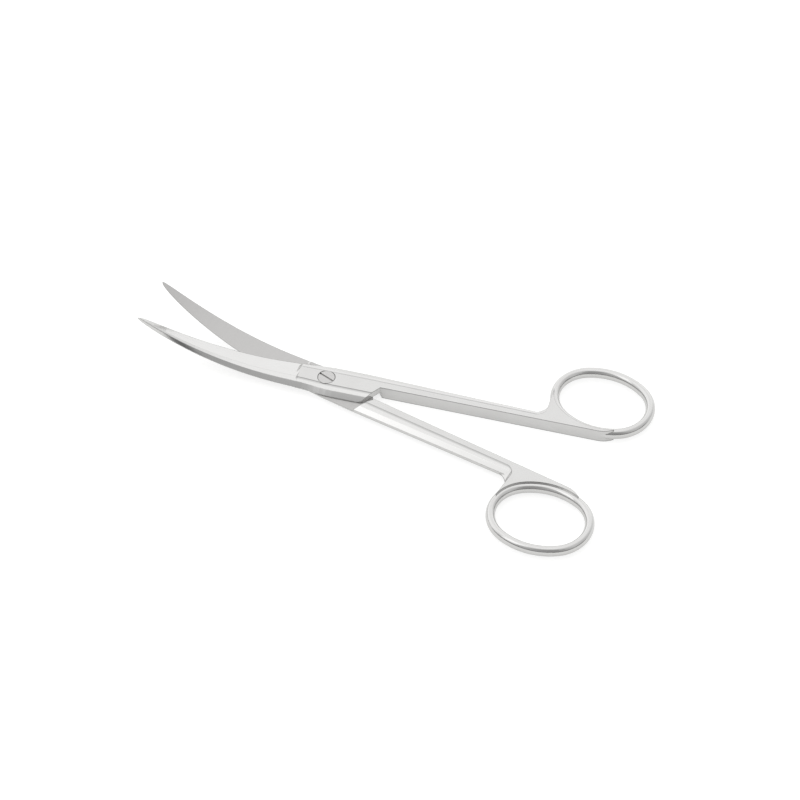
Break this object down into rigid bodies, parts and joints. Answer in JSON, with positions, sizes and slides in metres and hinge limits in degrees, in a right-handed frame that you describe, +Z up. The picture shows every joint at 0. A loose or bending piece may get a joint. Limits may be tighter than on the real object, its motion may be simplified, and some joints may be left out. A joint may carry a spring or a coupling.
{
  "type": "dissecting scissors",
  "caption": "Curved dissecting scissors: two steel halves with oval finger rings cross at a lap joint and turn on a slotted screw.",
  "frame": {"origin": "on the pivot screw's axis, in the plane of the flat underside that the scissors rest on", "axes": "+X towards the finger rings along the line on which the halves close, +Z up from the surface along the pivot, so the tips point to -X and curve up"},
  "size_m": [0.1417, 0.0706, 0.0131],
  "materials": {
    "half_steel": "forged stainless steel, finely ground and polished",
    "screw_steel": "turned stainless steel"
  },
  "bodies": {
    "lower": {"lower_half": "half_steel", "pivot_screw": "screw_steel"},
    "upper": {"upper_half": "half_steel"}
  },
  "joints": [
    {"name": "pivot", "type": "hinge", "parent": "lower", "child": "upper", "pos_m": [0, 0, 0], "axis": [0, 0, 1], "range_deg": [-16.6, 45]}
  ]
}
